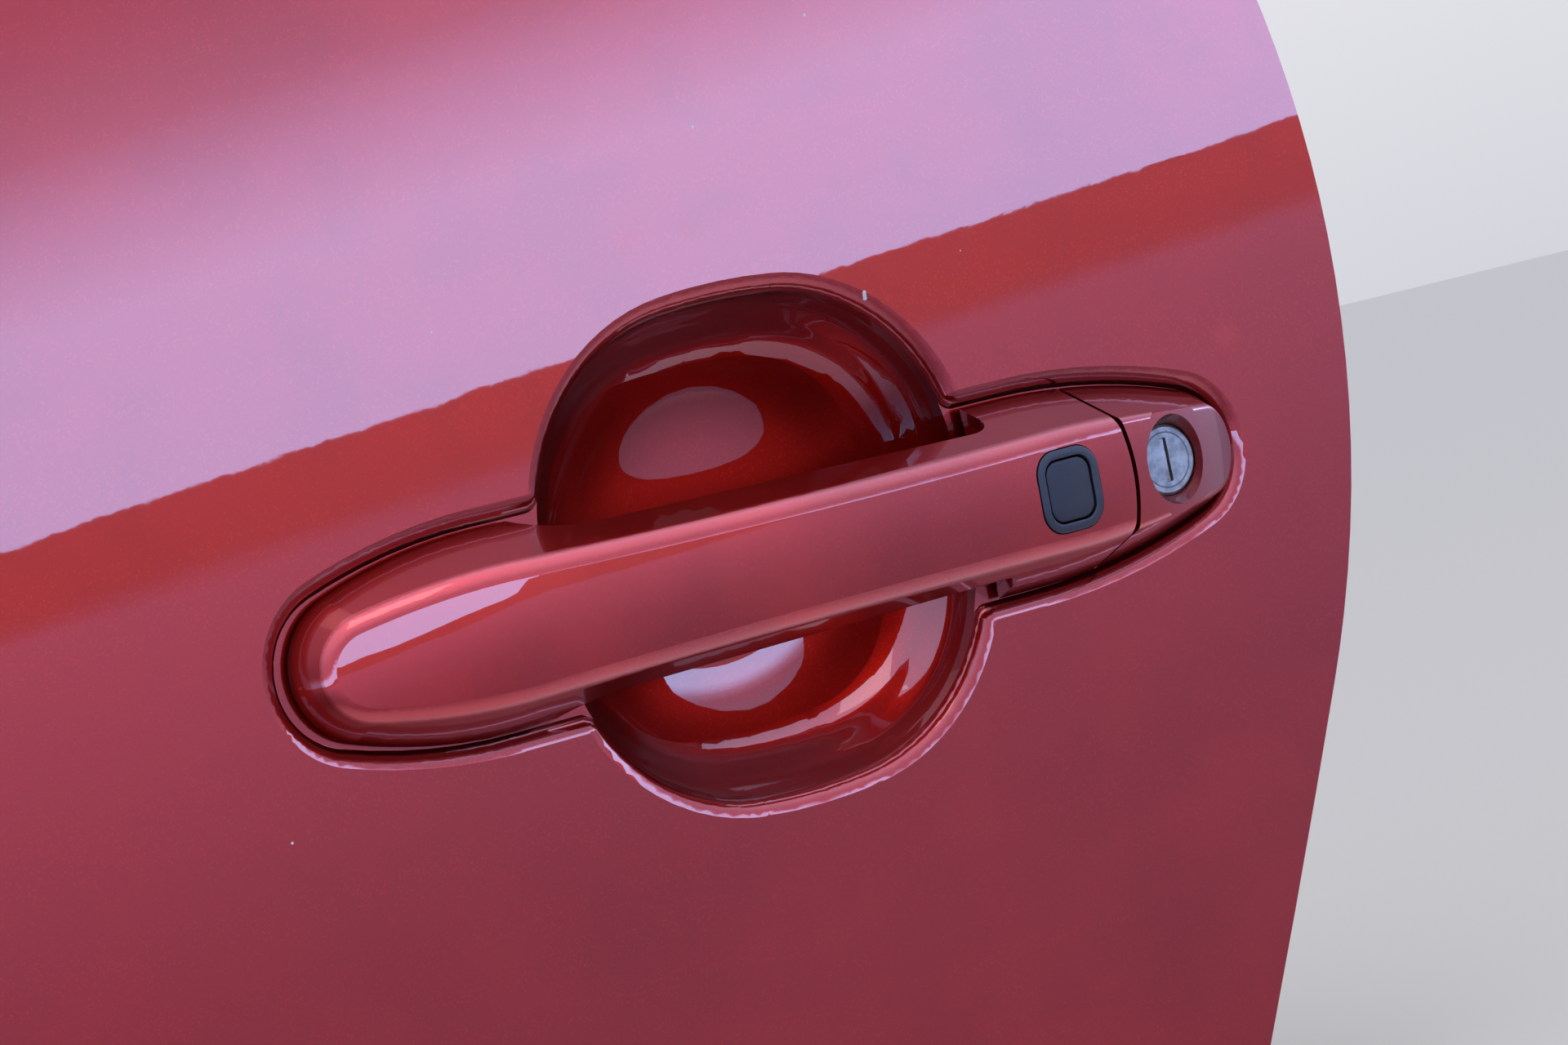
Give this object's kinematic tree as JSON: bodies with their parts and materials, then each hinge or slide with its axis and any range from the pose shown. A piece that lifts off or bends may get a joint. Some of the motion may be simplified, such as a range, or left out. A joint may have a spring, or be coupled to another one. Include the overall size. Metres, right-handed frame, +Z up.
{
  "type": "car door outside handle on door skin section",
  "caption": "Car door pull handle with finger pocket, request button, key lock and release lever on a section of red door skin.",
  "frame": {"origin": "midway between the two screw bosses, on the plane of their rear faces", "axes": "+X rearward along the car, +Y inward through the door, +Z up; the outside of the door faces -Y"},
  "size_m": [0.358, 0.0664, 0.308],
  "materials": {
    "paint_skin": "deep red metallic clear coat",
    "paint_grip": "deep red metallic clear coat",
    "grip_inner": "fine grained black",
    "button_ring": "satin",
    "button_rubber": "smooth matt",
    "paint_cap": "deep red metallic clear coat",
    "lock_zinc": "worn satin zinc",
    "plug_zinc": "worn satin zinc",
    "tail_steel": "zinc plated",
    "gasket_rubber": "matt",
    "base_plastic": "moulded, glass filled",
    "pin_steel": "ground",
    "lever_plastic": "natural acetal",
    "weight_steel": "zinc plated",
    "spring_steel": "oiled wire"
  },
  "bodies": {
    "door": {"door_skin": "paint_skin", "lock_cap": "paint_cap", "lock_housing": "lock_zinc", "front_gasket": "gasket_rubber", "rear_gasket": "gasket_rubber", "handle_base": "base_plastic", "hinge_pin": "pin_steel", "lever_pin": "pin_steel", "return_spring": "spring_steel"},
    "grip": {"grip_cover": "paint_grip", "grip_back": "grip_inner", "button_frame": "button_ring", "button_pad": "button_rubber"},
    "lever": {"release_lever": "lever_plastic", "counterweight": "weight_steel"},
    "key_plug": {"lock_plug": "plug_zinc", "lock_tail": "tail_steel"}
  },
  "joints": [
    {"name": "grip_pull", "type": "hinge", "parent": "door", "child": "grip", "pos_m": [-0.107, -0.036, -0.0007], "axis": [0, 0, -1], "range_deg": [0, 7]},
    {"name": "lever_turn", "type": "hinge", "parent": "door", "child": "lever", "pos_m": [0.064, -0.024, 0.025], "axis": [-1, 0, 0], "range_deg": [0, 56], "stiffness_Nm_per_rad": 0.06, "springref_deg": -34.38, "deforming": ["return_spring"]},
    {"name": "key_turn", "type": "hinge", "parent": "door", "child": "key_plug", "pos_m": [0.0925, -0.0165, -0.0007], "axis": [0, 1, 0], "range_deg": [-60, 60]}
  ],
  "couplings": [
    {"joint": "lever_turn", "follows": "grip_pull", "ratio": 8}
  ]
}
